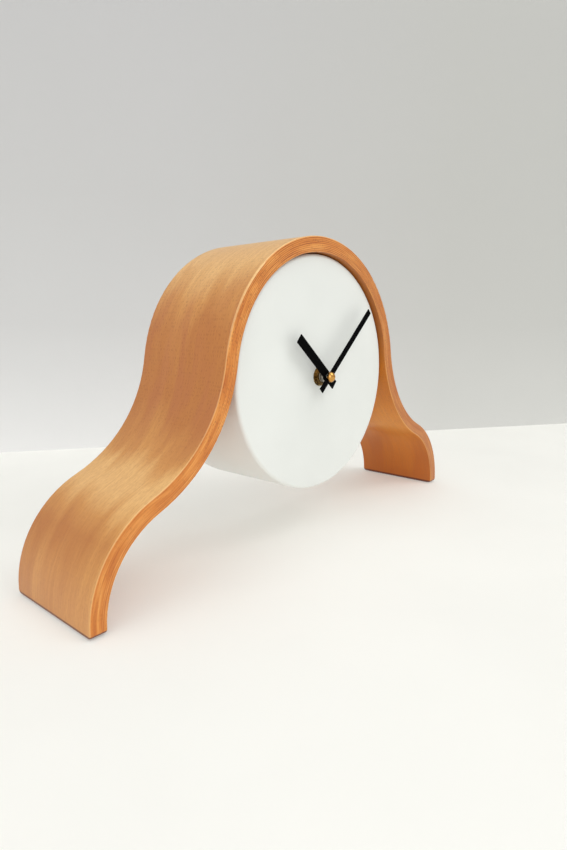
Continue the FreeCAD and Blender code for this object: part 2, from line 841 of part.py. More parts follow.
def make_coil_core():
    reach = coil_half_span + coil_arm_gap + stator_arm_width / 2
    start = coil_place(coil_centre_z - reach)
    return block(start.x - coil_core_width / 2, stator_y + stator_thickness, start.z,
                 coil_core_width, coil_core_thickness, reach * 2)


def coil_core_tool():
    start = coil_place(coil_centre_z - coil_half_span)
    width = coil_core_width + loose_clearance * 2
    depth = coil_core_thickness + loose_clearance * 2
    return block(start.x - width / 2, coil_core_y() - depth / 2, start.z - overrun,
                 width, depth, (coil_half_span + overrun) * 2)


def make_coil_bobbin():
    y = coil_core_y()
    bottom = coil_place(coil_centre_z - coil_half_span)
    top = coil_place(coil_centre_z + coil_half_span - coil_flange_thickness)
    tube = upright_cylinder(bottom, y, coil_tube_radius, coil_half_span * 2)
    flanges = [upright_cylinder(place, y, coil_flange_radius, coil_flange_thickness)
               for place in (bottom, top)]
    return fused([tube] + flanges).cut(coil_core_tool())


def make_coil_winding():
    y = coil_core_y()
    bottom = coil_place(coil_centre_z - coil_half_span + coil_flange_thickness)
    length = (coil_half_span - coil_flange_thickness) * 2
    winding = upright_cylinder(bottom, y, coil_winding_radius, length)
    return winding.cut(upright_cylinder(bottom, y, coil_tube_radius, length))


def board_left():
    return axis_place.x - inner_half + board_wall_gap


def board_right():
    return coil_place(0).x - coil_flange_radius - board_coil_gap


def board_bottom():
    return chamber_top_z - board_margin - board_height


def board_post_places():
    z = board_bottom() + board_height / 2
    return [VECTOR(x, 0, z) for x in (board_left() + board_post_inset, board_right() - board_post_inset)]


def make_circuit_board():
    return block(board_left(), board_y, board_bottom(), board_right() - board_left(), board_thickness,
                 board_height)


def make_quartz_crystal():
    z = board_bottom() + board_height / 2
    start = VECTOR(board_left() + crystal_inset, board_back_y + crystal_radius, z)
    return Part.makeCylinder(crystal_radius, crystal_length, start, VECTOR(1, 0, 0))


def make_driver_chip():
    z = board_bottom() + board_height / 2
    spot = VECTOR(board_right() - chip_inset, 0, z)
    return domed_disc(spot, board_back_y, chip_radius, 0, chip_height, 1)


def make_contact(side, battery_end):
    """A sprung strip beside one end of the battery, with a tab to the circuit board."""
    outer = axis_place.x + side * (inner_half - contact_gap)
    inner = outer - side * contact_thickness
    bottom = battery_z - contact_bump_radius - contact_thickness
    top = board_bottom() + board_height / 2 + contact_tab_height / 2
    strip_y = battery_y - contact_width / 2
    strip_end_y = board_back_y + contact_tab_thickness
    pieces = [block(min(outer, inner), strip_y, bottom, contact_thickness,
                    strip_end_y - strip_y, top - bottom)]
    board_end = (board_right() if side > 0 else board_left()) - side * contact_board_overlap
    tab_left = min(inner, board_end)
    pieces.append(block(tab_left, board_back_y, top - contact_tab_height, abs(inner - board_end),
                        contact_tab_thickness, contact_tab_height))
    start = VECTOR(inner, battery_y, battery_z)
    reach = abs(inner - battery_end)
    pieces.append(Part.makeCone(contact_bump_radius, contact_bump_radius / 2, reach, start,
                                VECTOR(-side, 0, 0)))
    return fused(pieces)


def battery_left():
    """Flat end of the battery. The battery and its nub are centred in the housing."""
    return axis_place.x - battery_reach


def make_contact_negative():
    return make_contact(-1, battery_left())


def make_contact_positive():
    return make_contact(1, battery_left() + battery_length + battery_nub_length)


def make_battery():
    left = VECTOR(battery_left(), battery_y, battery_z)
    across = VECTOR(1, 0, 0)
    sleeve = Part.makeCylinder(battery_radius, battery_length, left, across)
    sleeve = sleeve.makeChamfer(battery_edge, [edge for edge in sleeve.Edges if edge.Closed])
    nub = Part.makeCylinder(battery_nub_radius, battery_nub_length, left + across * battery_length, across)
    return fused([sleeve, nub])


def make_movement_case():
    left = axis_place.x - case_width / 2
    shell = rounded_prism(left, case_bottom_z, case_width, case_top_z - case_bottom_z, case_y, case_depth,
                          case_corner)
    cavity_left = axis_place.x - inner_half
    corner = case_corner - side_wall
    train_height = chamber_top_z - train_floor_z
    shell = shell.cut(rounded_prism(cavity_left, train_floor_z, inner_half * 2, train_height, inner_y,
                                    case_depth, corner))
    shell = shell.cut(rounded_prism(cavity_left, bay_floor_z, inner_half * 2, battery_top_z - bay_floor_z,
                                    inner_y, case_depth, corner))
    shell = shell.cut(block(left - overrun, cover_y, train_floor_z - battery_wall / 2,
                            case_width + overrun * 2, cover_thickness + overrun,
                            train_height + side_wall + battery_wall + overrun))
    notch_width = contact_thickness + contact_gap + contact_notch
    for side_left in (cavity_left, cavity_left + inner_half * 2 - notch_width):
        shell = shell.cut(block(side_left, battery_y - contact_width / 2 - contact_notch,
                                battery_top_z - corner - overrun, notch_width,
                                case_depth, battery_wall + corner * 2 + overrun * 2))
    notch_y = case_back_y - battery_radius
    shell = shell.cut(block(axis_place.x - finger_notch_width / 2, notch_y, case_bottom_z - overrun,
                            finger_notch_width, battery_radius + overrun, side_wall + overrun * 2))
    pieces = [shell]
    for spot in post_places():
        pieces.append(disc(spot, inner_y, post_radius, plate_level))
        pieces.append(disc(spot, inner_y, peg_radius, plate_level + plate_thickness))
    for spot in board_post_places():
        pieces.append(disc(spot, inner_y, board_post_radius, board_level))
    pieces.append(disc(third_place, inner_y, boss_radius, third_boss_height))
    pieces.append(disc(setting_place, inner_y, boss_radius, setting_boss_height))
    pieces.append(disc(motion_place, inner_y, stud_radius, stud_height))
    shell = fused(pieces)
    for spot, height in ((third_place, third_boss_height), (setting_place, setting_boss_height)):
        shell = shell.cut(disc(spot, inner_y + height - pivot_hole_depth, pivot_radius + fit_clearance,
                               pivot_hole_depth + overrun))
    return shell.cut(disc(axis_place, case_y - overrun, bushing_tail_radius + fit_clearance,
                          front_wall + overrun * 2))


def make_movement_cover():
    left = axis_place.x - case_width / 2
    bottom = train_floor_z - battery_wall / 2 + loose_clearance
    height = case_top_z - bottom
    plate = block(left, cover_y, bottom, case_width, cover_thickness, height)
    top_edges = [edge for edge in plate.Edges
                 if edge.tangentAt(edge.FirstParameter).y != 0 and edge.CenterOfMass.z > axis_z]
    plate = plate.makeFillet(case_corner, top_edges)
    lip_left = axis_place.x - inner_half + loose_clearance + contact_thickness + contact_gap
    lip_width = (axis_place.x - lip_left) * 2
    lip_bottom = train_floor_z + loose_clearance
    lip_height = chamber_top_z - loose_clearance - lip_bottom
    lip_y = cover_y - cover_lip_depth
    corner = case_corner - side_wall
    lip = rounded_prism(lip_left, lip_bottom, lip_width, lip_height, lip_y, cover_lip_depth, corner)
    lip = lip.cut(block(lip_left + cover_lip_width, lip_y - overrun, lip_bottom + cover_lip_width,
                        lip_width - cover_lip_width * 2, cover_lip_depth + overrun,
                        lip_height - cover_lip_width * 2))
    pieces = [plate, lip]
    bearings = (axis_place, third_place, fast_place, rotor_place)
    for spot in bearings:
        pieces.append(disc(spot, bearing_y, boss_radius, cover_y - bearing_y))
    cover = fused(pieces)
    for spot in bearings:
        cover = cover.cut(disc(spot, bearing_y - overrun, pivot_radius + fit_clearance,
                               pivot_hole_depth + overrun))
    return cover.cut(disc(setting_place, cover_y - overrun, setting_arbor_radius + fit_clearance,
                          cover_thickness + overrun * 2))


def make_threaded_bushing():
    front = at_height(bushing_reach)
    flange_y = case_y - bushing_flange_thickness
    barrel = disc(axis_place, front, bushing_radius, case_y - front)
    mouth = [edge for edge in barrel.Edges if edge.Closed and edge.CenterOfMass.y < front + overrun]
    barrel = barrel.makeChamfer(bushing_chamfer, mouth)
    flange = disc(axis_place, flange_y, bushing_flange_radius, bushing_flange_thickness)
    tail = disc(axis_place, case_y, bushing_tail_radius, front_wall)
    bore = disc(axis_place, front - overrun, hour_pipe_radius + fit_clearance,
                inner_y - front + overrun * 2)
    return fused([barrel, flange, tail]).cut(bore)


def make_bushing_gasket():
    return ring(axis_place, dial_back_y, gasket_radius, bushing_radius + loose_clearance, gasket_thickness)


def make_brass_washer():
    return ring(axis_place, dial_y - washer_thickness, washer_radius, bushing_radius + loose_clearance,
                washer_thickness)


def make_hex_nut():
    y = dial_y - washer_thickness - nut_thickness
    corner_radius = nut_flats / 2 / cosine(HALF_TURN / nut_sides)
    points = [VECTOR(axis_place.x, y, axis_place.z) + along(turn * FULL_TURN / nut_sides) * corner_radius
              for turn in range(nut_sides)]
    prism = Part.Face(Part.makePolygon(points + points[:1])).extrude(ALONG_Y * nut_thickness)
    crown = disc(axis_place, y, corner_radius, nut_thickness)
    mouth = [edge for edge in crown.Edges if edge.Closed and edge.CenterOfMass.y < y + nut_thickness / 2]
    crown = crown.makeChamfer(nut_chamfer, mouth)
    bore = disc(axis_place, y - overrun, bushing_radius + fit_clearance, nut_thickness + overrun * 2)
    return prism.common(crown).cut(bore)


NODES = {
    "arch_ribbon": make_arch_ribbon,
    "foot_pads": make_foot_pads,
    "dial_drum": make_dial_drum,
    "drum_screws": make_drum_screws,
    "screw_cushions": make_screw_cushions,
    "drum_spacers": make_drum_spacers,
    "movement_case": make_movement_case,
    "movement_cover": make_movement_cover,
    "threaded_bushing": make_threaded_bushing,
    "bushing_gasket": make_bushing_gasket,
    "brass_washer": make_brass_washer,
    "hex_nut": make_hex_nut,
    "train_plate": make_train_plate,
    "stator": make_stator,
    "coil_core": make_coil_core,
    "coil_bobbin": make_coil_bobbin,
    "coil_winding": make_coil_winding,
    "circuit_board": make_circuit_board,
    "quartz_crystal": make_quartz_crystal,
    "driver_chip": make_driver_chip,
    "contact_negative": make_contact_negative,
    "contact_positive": make_contact_positive,
    "battery": make_battery,
    "minute_hand": make_minute_hand,
    "cap_nut": make_cap_nut,
    "minute_arbor": make_minute_arbor,
    "centre_wheel": make_centre_wheel,
    "hour_hand": make_hour_hand,
    "hour_wheel": make_hour_wheel,
    "motion_wheel": make_motion_wheel,
    "third_wheel": make_third_wheel,
    "fourth_wheel": make_fourth_wheel,
    "fast_wheel": make_fast_wheel,
    "rotor_pinion": make_rotor_pinion,
    "rotor_magnet": make_rotor_magnet,
    "setting_knob": make_setting_knob,
}


os.makedirs("parts", exist_ok=True)
for node_name, make_node in NODES.items():
    save(make_node(), node_name)
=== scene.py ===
import bmesh
import bpy
import math
from mathutils import Matrix, Vector


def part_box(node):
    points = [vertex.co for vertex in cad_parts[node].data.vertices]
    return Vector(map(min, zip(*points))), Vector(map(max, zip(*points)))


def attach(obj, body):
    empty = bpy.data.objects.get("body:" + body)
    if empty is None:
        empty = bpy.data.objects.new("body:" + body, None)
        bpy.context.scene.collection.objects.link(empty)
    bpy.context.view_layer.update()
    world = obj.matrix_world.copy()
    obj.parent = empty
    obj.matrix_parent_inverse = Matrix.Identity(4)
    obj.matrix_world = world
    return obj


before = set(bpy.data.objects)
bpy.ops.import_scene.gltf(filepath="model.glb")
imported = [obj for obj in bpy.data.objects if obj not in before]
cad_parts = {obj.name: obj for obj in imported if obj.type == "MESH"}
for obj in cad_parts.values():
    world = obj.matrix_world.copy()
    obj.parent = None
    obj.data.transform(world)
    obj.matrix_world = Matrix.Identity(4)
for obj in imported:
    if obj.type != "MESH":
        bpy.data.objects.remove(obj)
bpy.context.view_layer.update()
MM = 0.001

# The photograph's camera, from the fit to the clock's outline: degrees and pixels
CAMERA_PLACE = Vector((-0.33181, -0.29160, 0.16638))
YAW, PITCH, ROLL = 50.24, -14.92, 0.01
FOCAL_PIXELS = 539.4
PHOTO_WIDTH, PHOTO_HEIGHT = 567, 850
OPTICAL_X, OPTICAL_Y = 300.5, 469.8
SENSOR_WIDTH = 36
NEAREST, FARTHEST = 0.01, 50


def camera_axes():
    yaw, pitch, roll = (math.radians(angle) for angle in (YAW, PITCH, ROLL))
    ahead = Vector((math.sin(yaw) * math.cos(pitch), math.cos(yaw) * math.cos(pitch),
                    math.sin(pitch)))
    level = Vector((math.cos(yaw), -math.sin(yaw), 0))
    above = level.cross(ahead)
    right = level * math.cos(roll) + above * math.sin(roll)
    up = above * math.cos(roll) - level * math.sin(roll)
    return right, up, ahead


def add_camera():
    right, up, ahead = camera_axes()
    data = bpy.data.cameras.new("camera")
    camera = bpy.data.objects.new("camera", data)
    bpy.context.scene.collection.objects.link(camera)
    turn = Matrix((right, up, -ahead)).transposed()
    camera.matrix_world = Matrix.Translation(CAMERA_PLACE) @ turn.to_4x4()
    data.sensor_width = SENSOR_WIDTH
    data.lens = FOCAL_PIXELS * SENSOR_WIDTH / PHOTO_HEIGHT
    data.shift_x = (PHOTO_WIDTH / 2 - OPTICAL_X) / PHOTO_HEIGHT
    data.shift_y = (OPTICAL_Y - PHOTO_HEIGHT / 2) / PHOTO_HEIGHT
    data.clip_start = NEAREST
    data.clip_end = FARTHEST
    bpy.context.scene.camera = camera


def floor_point(x, y):
    """Where the sight line through a point of the photograph meets the floor."""
    right, up, ahead = camera_axes()
    ray = (ahead + right * ((x - OPTICAL_X) / FOCAL_PIXELS)
           - up * ((y - OPTICAL_Y) / FOCAL_PIXELS))
    return CAMERA_PLACE - ray * (CAMERA_PLACE.z / ray.z)


def linear(red, green, blue):
    """A colour read as 0 to 255, through the sRGB curve to what the shader wants."""
    def one(value):
        share = value / 255
        return share / 12.92 if share <= 0.04045 else ((share + 0.055) / 1.055) ** 2.4
    return (one(red), one(green), one(blue), 1.0)


BLACK = linear(0, 0, 0)

# Sockets of the mix node that hold colours. Those of its other kinds share their names
MIX_FACTOR, MIX_FIRST, MIX_SECOND, MIX_RESULT = 0, 6, 7, 2


def shaded(colour, share):
    """The same colour with a share of its light."""
    return tuple(channel * share for channel in colour[:3]) + (1.0,)


class Paint:
    """A material, and short calls that add its nodes."""

    def __init__(self, name, roughness=0.5, metallic=0.0):
        self.material = bpy.data.materials.new(name)
        self.material.use_nodes = True
        self.tree = self.material.node_tree
        self.shader = self.tree.nodes["Principled BSDF"]
        self.object_place = None
        self.set("Roughness", roughness)
        self.set("Metallic", metallic)

    def add(self, kind, inputs=(), **settings):
        node = self.tree.nodes.new(kind)
        for key, value in settings.items():
            setattr(node, key, value)
        for socket, value in dict(inputs).items():
            self.feed(node.inputs[socket], value)
        return node

    def feed(self, socket, value):
        if isinstance(value, bpy.types.NodeSocket):
            self.tree.links.new(value, socket)
        else:
            socket.default_value = value

    def set(self, name, value):
        self.feed(self.shader.inputs[name], value)

    def place(self):
        if self.object_place is None:
            self.object_place = self.add("ShaderNodeTexCoord").outputs["Object"]
        return self.object_place

    def normal(self):
        return self.add("ShaderNodeNewGeometry").outputs["Normal"]

    def math(self, operation, *values):
        node = self.add("ShaderNodeMath", operation=operation)
        for socket, value in zip(node.inputs, values):
            self.feed(socket, value)
        return node.outputs[0]

    def times(self, first, second):
        return self.math("MULTIPLY", first, second)

    def times_plus(self, value, factor, offset):
        return self.math("MULTIPLY_ADD", value, factor, offset)

    def split(self, vector):
        return self.add("ShaderNodeSeparateXYZ", {"Vector": vector}).outputs

    def join(self, x, y, z):
        return self.add("ShaderNodeCombineXYZ", {"X": x, "Y": y, "Z": z}).outputs[0]

    def noise(self, vector, scale, detail=2.0, roughness=0.5, distortion=0.0):
        inputs = {"Vector": vector, "Scale": scale, "Detail": detail, "Roughness": roughness,
                  "Distortion": distortion}
        return self.add("ShaderNodeTexNoise", inputs).outputs["Fac"]

    def stretched(self, vector, waves):
        """The place with each of its axes counted in waves, which are given per metre."""
        return self.add("ShaderNodeVectorMath", {0: vector, 1: waves},
                        operation="MULTIPLY").outputs[0]

    def streaks(self, vector, waves, detail=2.0, roughness=0.5, distortion=0.0):
        return self.noise(self.stretched(vector, waves), 1.0, detail, roughness, distortion)

    def ramp(self, factor, *stops):
        """Each stop is a position and a colour or a grey level."""
        node = self.add("ShaderNodeValToRGB", {"Fac": factor})
        marks = node.color_ramp.elements
        for position, _ in stops[1:-1]:
            marks.new(position)
        for mark, (position, colour) in zip(marks, stops):
            mark.position = position
            mark.color = colour if isinstance(colour, tuple) else (colour, colour, colour, 1.0)
        return node.outputs["Color"]

    def mix(self, factor, first, second):
        node = self.add("ShaderNodeMix", data_type="RGBA", blend_type="MIX")
        self.feed(node.inputs[MIX_FACTOR], factor)
        self.feed(node.inputs[MIX_FIRST], first)
        self.feed(node.inputs[MIX_SECOND], second)
        return node.outputs[MIX_RESULT]

    def bump(self, height, strength, distance):
        node = self.add("ShaderNodeBump",
                        {"Height": height, "Strength": strength, "Distance": distance})
        self.set("Normal", node.outputs["Normal"])

    def put_on(self, *names):
        for name in names:
            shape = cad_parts[name].data
            for index in range(len(shape.materials)):
                shape.materials[index] = self.material


# The ribbon's middle line, as the CAD source has it, in metres
CROWN_RADIUS, CROWN_ANGLE = 95.5 * MM, math.radians(79.7)
WAIST_RADIUS, LEAN_ANGLE = 106.6 * MM, math.radians(22.9)
FOOT_RADIUS = 70.3 * MM
PAD_THICKNESS = 0.8 * MM
CROWN_HEIGHT = (PAD_THICKNESS - math.cos(CROWN_ANGLE) * (CROWN_RADIUS + WAIST_RADIUS)
                + math.cos(LEAN_ANGLE) * (WAIST_RADIUS + FOOT_RADIUS))
WAIST_START = CROWN_RADIUS * CROWN_ANGLE
FOOT_START = WAIST_START + WAIST_RADIUS * (CROWN_ANGLE - LEAN_ANGLE)
HALF_LENGTH = FOOT_START + FOOT_RADIUS * (math.pi / 2 - LEAN_ANGLE)

# The ribbon's thickness and what shows on it
RIBBON_THICKNESS = 10.8 * MM
VENEER = 1.2 * MM
ARRIS = 1.2 * MM
RIM_START = RIBBON_THICKNESS / 2 - ARRIS
CONTACT_SHADE_HEIGHT = 3.1 * MM  # height up to which the feet's lower edges get a painted contact shadow


def ribbon_place(paint):
    """Place in the ribbon: along its middle line from the crown, across its depth, and out from
    the line."""
    x, depth, z = paint.split(paint.place())
    side = paint.math("SIGN", x)
    x = paint.math("ABSOLUTE", x)
    waist_x = math.sin(CROWN_ANGLE) * (CROWN_RADIUS + WAIST_RADIUS)
    waist_z = CROWN_HEIGHT + math.cos(CROWN_ANGLE) * (CROWN_RADIUS + WAIST_RADIUS)
    foot_x = waist_x - math.sin(LEAN_ANGLE) * (WAIST_RADIUS + FOOT_RADIUS)

    def polar(centre_x, centre_z, way):
        """Angle from straight up, or from straight down where way is -1, and the distance."""
        across = paint.times(paint.math("SUBTRACT", x, centre_x), way)
        rise = paint.times(paint.math("SUBTRACT", z, centre_z), way)
        squares = paint.math("ADD", paint.times(across, across), paint.times(rise, rise))
        return paint.math("ARCTAN2", across, rise), paint.math("SQRT", squares)

    def pick(crown, waist, foot):
        upper = paint.times_plus(paint.math("SUBTRACT", waist, crown), past_crown, crown)
        return paint.times_plus(paint.math("SUBTRACT", foot, upper), past_waist, upper)

    crown_turn, crown_reach = polar(0.0, CROWN_HEIGHT, 1.0)
    waist_turn, waist_reach = polar(waist_x, waist_z, -1.0)
    foot_turn, foot_reach = polar(foot_x, PAD_THICKNESS, 1.0)
    past_crown = paint.math("GREATER_THAN", crown_turn, CROWN_ANGLE)
    past_waist = paint.times(past_crown, paint.math("LESS_THAN", waist_turn, LEAN_ANGLE))
    along = pick(paint.times(crown_turn, CROWN_RADIUS),
                 paint.times_plus(waist_turn, -WAIST_RADIUS,
                                  WAIST_START + WAIST_RADIUS * CROWN_ANGLE),
                 paint.times_plus(foot_turn, FOOT_RADIUS,
                                  FOOT_START - FOOT_RADIUS * LEAN_ANGLE))
    out = pick(paint.math("SUBTRACT", crown_reach, CROWN_RADIUS),
               paint.math("SUBTRACT", WAIST_RADIUS, waist_reach),
               paint.math("SUBTRACT", foot_reach, FOOT_RADIUS))
    return paint.times(along, side), depth, out


# How the beech, with the light and shade painted on it, changes along the ribbon. Each pair is the
# way from the crown's top, 0, to the foot's end, 1, and the value there
# The outer tone: painted light at the crown and the lower bend, painted shade at the shoulder and
# down the foot
OUTER_TONE_AND_LIGHT = ((0.0, 0.90), (0.18, 0.84), (0.27, 0.58), (0.36, 0.22), (0.50, 0.10),
              (0.64, 0.46), (0.73, 0.92), (0.79, 0.64), (0.85, 0.26), (0.91, 0.40))
# Painted shade on the inner face, darkest down the foot
INNER_TONE_AND_SHADE = ((0.55, 0.45), (0.68, 0.68), (0.76, 0.42), (1.0, 0.14))
FOOT_SHARE = ((0.68, 0.0), (0.80, 1.0))
SHOULDER_SHARE = ((0.22, 0.0), (0.32, 1.0), (0.52, 1.0), (0.66, 0.0))
# Painted shade where the inner face lies close round the drum
SHADE_BY_DRUM = ((0.36, 0.6), (0.46, 0.0))
CROWN_LINES = ((0.20, 0.85), (0.42, 0.0))
PORE_SHARE = ((0.14, 0.7), (0.28, 1.0), (0.48, 1.0), (0.70, 0.36))
# Where the painted highlight on the arrises shows, and how strong it is
INNER_HIGHLIGHT_SHARE = ((0.38, 0.0), (0.46, 1.0))
RIM_HIGHLIGHT_STRENGTH = ((0.22, 0.70), (0.38, 0.26), (0.58, 0.26), (0.72, 0.42), (0.88, 0.26))
FRONT_PALER = 3.0  # how much paler the foot gets per metre towards the front

# How fine the beech's figure is, in waves per metre along, across the depth and outwards
PATCHES = (11.0, 55.0, 0.0)
SLOW_BANDS = (6.0, 16.0, 0.0)
BLUSH = (15.0, 75.0, 0.0)
GRAIN = (22.0, 620.0, 60.0)
FLECKS = (260.0, 900.0, 900.0)
SHEEN = (30.0, 300.0, 300.0)
EDGE_STREAKS = (30.0, 0.0, 700.0)
EDGE_CLOUDS = (45.0, 0.0, 260.0)

# The pores lie in cells: how many to the metre, how wide one is in its cell, and the share of
# the cells that hold one
PORE_CELLS = (400.0, 2000.0, 2000.0)
PORE_RADIUS, PORES_FILLED = 0.36, 0.34


def veneer_bands(paint, place, tone, dark, middle, light):
    """Colour of a broad face: wide soft streaks along the grain, about a given tone."""
    patches = paint.streaks(place, PATCHES, roughness=0.45, distortion=0.9)
    slow = paint.streaks(place, SLOW_BANDS, detail=1.0)
    streaks = paint.times_plus(patches, 0.62, paint.times_plus(slow, 0.38, -0.5))
    return paint.ramp(paint.math("ADD", streaks, tone), (0.2, dark), (0.50, middle), (0.8, light))


def outer_face(paint, place, way, depth):
    """Palest at the crown and lower bend, with painted light; darkest, with painted shade and red
    patches, at the shoulder.
    """
    forward = paint.times(depth, paint.ramp(way, *FOOT_SHARE))
    tone = paint.times_plus(forward, -FRONT_PALER, paint.ramp(way, *OUTER_TONE_AND_LIGHT))
    bands = veneer_bands(paint, place, tone,
                         linear(186, 119, 59), linear(207, 146, 78), linear(232, 184, 117))
    patches = paint.ramp(paint.streaks(place, BLUSH, detail=3.0), (0.46, 0.0), (0.60, 0.42))
    blush = paint.times(patches, paint.ramp(way, *SHOULDER_SHARE))
    return paint.mix(blush, bands, linear(178, 106, 66))


def inner_face(paint, place, way):
    """Redder than the outer face, with painted shade where it lies close round the drum and down
    the foot.
    """
    bands = veneer_bands(paint, place, paint.ramp(way, *INNER_TONE_AND_SHADE),
                         linear(183, 99, 25), linear(203, 120, 32), linear(217, 140, 48))
    # Painted shade close round the drum
    return paint.mix(paint.ramp(way, *SHADE_BY_DRUM), bands, linear(128, 70, 30))


def layered_edge(paint, place, way, along, out):
    """Colour of the ribbon's edges: streaky veneers, with glue lines at the crown and towards
    the inner side."""
    streak = paint.streaks(place, EDGE_STREAKS, detail=4.0, roughness=0.6)
    cloud = paint.streaks(place, EDGE_CLOUDS, detail=1.0)
    tone = paint.times_plus(streak, 0.55, paint.times(cloud, 0.45))
    edge = paint.ramp(tone, (0.35, linear(184, 100, 36)), (0.50, linear(205, 124, 49)),
                      (0.65, linear(226, 154, 76)))
    # Painted shade: the edges darken over the ribbon's right half
    painted_shade_right = paint.ramp(paint.times(along, 1 / HALF_LENGTH), (0.05, 0.0), (0.5, 0.50))
    edge = paint.mix(painted_shade_right, edge, linear(164, 92, 38))

    layer = paint.times_plus(out, 1 / VENEER, paint.times(cloud, 1.1))
    seam = paint.math("ABSOLUTE", paint.math("SUBTRACT", paint.math("FRACT", layer), 0.5))
    inner_third = paint.ramp(paint.times_plus(out, -1 / RIBBON_THICKNESS, 0.5),
                             (0.58, 0.05), (0.72, 0.36), (0.95, 0.26))
    shown = paint.times(inner_third, paint.ramp(cloud, (0.35, 0.5), (0.6, 1.0)))
    pale = paint.times(paint.ramp(seam, (0.04, 1.0), (0.16, 0.0)), shown)
    glue = paint.times(paint.ramp(seam, (0.32, 0.0), (0.46, 1.0)), shown)
    edge = paint.mix(glue, paint.mix(pale, edge, linear(246, 194, 124)), linear(158, 84, 34))

    crown = paint.times(paint.ramp(way, *CROWN_LINES),
                        paint.ramp(streak, (0.40, 1.0), (0.58, 0.35)))
    pale = paint.times(paint.ramp(seam, (0.0, 0.55), (0.2, 0.0)), crown)
    glue = paint.times(paint.ramp(seam, (0.22, 0.0), (0.42, 1.0)), crown)
    return paint.mix(glue, paint.mix(pale, edge, linear(240, 178, 104)), linear(150, 78, 32))


def pores(paint, place):
    """Short dark dashes along the grain, in a share of the cells."""
    cells = paint.add("ShaderNodeTexVoronoi",
                      {"Vector": paint.stretched(place, PORE_CELLS), "Scale": 1.0},
                      feature="F1").outputs
    chosen = paint.math("GREATER_THAN", paint.split(cells["Color"])[0], 1 - PORES_FILLED)
    return paint.times(paint.math("LESS_THAN", cells["Distance"], PORE_RADIUS), chosen)


def painted_rim_highlight(paint, way, out, facing):
    """Share of the painted highlight line on the rounded arrises. The inner one shows below the
    crown only.
    """
    inner = paint.times(paint.math("LESS_THAN", out, -RIM_START),
                        paint.ramp(way, *INNER_HIGHLIGHT_SHARE))
    rim = paint.math("ADD", paint.math("GREATER_THAN", out, RIM_START), inner)
    turning = paint.ramp(facing, (0.12, 0.0), (0.35, 1.0), (0.75, 1.0), (0.96, 0.0))
    return paint.times(paint.times(rim, turning), paint.ramp(way, *RIM_HIGHLIGHT_STRENGTH))


def beech():
    """Bent beech veneers: soft bands and pores on the broad faces, glued layers on the edges."""
    paint = Paint("beech")
    along, depth, out = ribbon_place(paint)
    place = paint.join(along, depth, out)
    way = paint.times(paint.math("ABSOLUTE", along), 1 / HALF_LENGTH)
    board = paint.mix(paint.math("LESS_THAN", out, 0.0), outer_face(paint, place, way, depth),
                      inner_face(paint, place, way))
    grain = paint.streaks(place, GRAIN, detail=4.0, roughness=0.6)
    board = paint.mix(paint.ramp(grain, (0.34, 0.20), (0.60, 0.0)), board, linear(166, 98, 50))
    fleck = paint.streaks(place, FLECKS)
    board = paint.mix(paint.ramp(fleck, (0.36, 0.18), (0.54, 0.0)), board, linear(170, 104, 54))
    facing = paint.math("ABSOLUTE", paint.split(paint.normal())[1])
    edge = layered_edge(paint, place, way, along, out)
    colour = paint.mix(paint.ramp(facing, (0.55, 0.0), (0.80, 1.0)), board, edge)
    dash = pores(paint, place)
    strength = paint.times(paint.times_plus(facing, 0.20, 0.46), paint.ramp(way, *PORE_SHARE))
    colour = paint.mix(paint.times(dash, strength), colour, linear(136, 74, 36))
    # Painted highlight on the rounded arrises
    colour = paint.mix(painted_rim_highlight(paint, way, out, facing), colour, linear(244, 206, 144))
    # Painted contact shadow along the feet's lower edges
    height = paint.times(paint.split(paint.place())[2], 1 / CONTACT_SHADE_HEIGHT)
    colour = paint.mix(paint.ramp(height, (0.84, 0.9), (1.0, 0.0)), colour, linear(104, 50, 28))
    paint.set("Base Color", colour)
    sheen = paint.streaks(place, SHEEN, detail=3.0)
    paint.set("Roughness", paint.times_plus(sheen, 0.14, 0.38))
    paint.bump(paint.math("ADD", grain, paint.times(dash, -0.5)), 0.10, 0.3 * MM)
    paint.set("Specular IOR Level", 0.3)
    paint.set("Coat Weight", 0.28)
    paint.set("Coat Roughness", 0.34)
    paint.put_on("arch_ribbon")


def white_drum():
    paint = Paint("white_drum")
    cloud = paint.noise(paint.place(), 14.0, 3.0)
    paint.set("Base Color", paint.ramp(cloud, (0.3, linear(223, 226, 223)),
                                       (0.7, linear(229, 232, 229))))
    ripple = paint.noise(paint.place(), 90.0)
    paint.set("Roughness", paint.times_plus(ripple, 0.10, 0.26))
    paint.bump(ripple, 0.03, 0.8 * MM)
    paint.put_on("dial_drum")


# Where the battery's pale band and its steel nub start, along x
BAND_START, NUB_START = 13.0 * MM, 23.97 * MM


def battery_sleeve():
    """A plain dark sleeve with a pale band at the nub end, and bare steel ends."""
    paint = Paint("battery_sleeve", roughness=0.34)
    x = paint.split(paint.place())[0]
    cloud = paint.ramp(paint.noise(paint.place(), 60.0), (0.35, linear(40, 44, 54)),
                       (0.65, linear(48, 52, 64)))
    colour = paint.mix(paint.math("GREATER_THAN", x, BAND_START), cloud, linear(168, 172, 176))
    end_on = paint.math("ABSOLUTE", paint.split(paint.normal())[0])
    bare = paint.math("MAXIMUM", paint.ramp(end_on, (0.80, 0.0), (0.86, 1.0)),
                      paint.math("GREATER_THAN", x, NUB_START))
    paint.set("Base Color", paint.mix(bare, colour, linear(200, 200, 198)))
    paint.set("Metallic", bare)
    paint.put_on("battery")


BUSHING_RADIUS = 4.0 * MM
THREAD_PITCH, THREAD_HEIGHT, THREAD_STEPS = 0.75 * MM, 0.25 * MM, 40


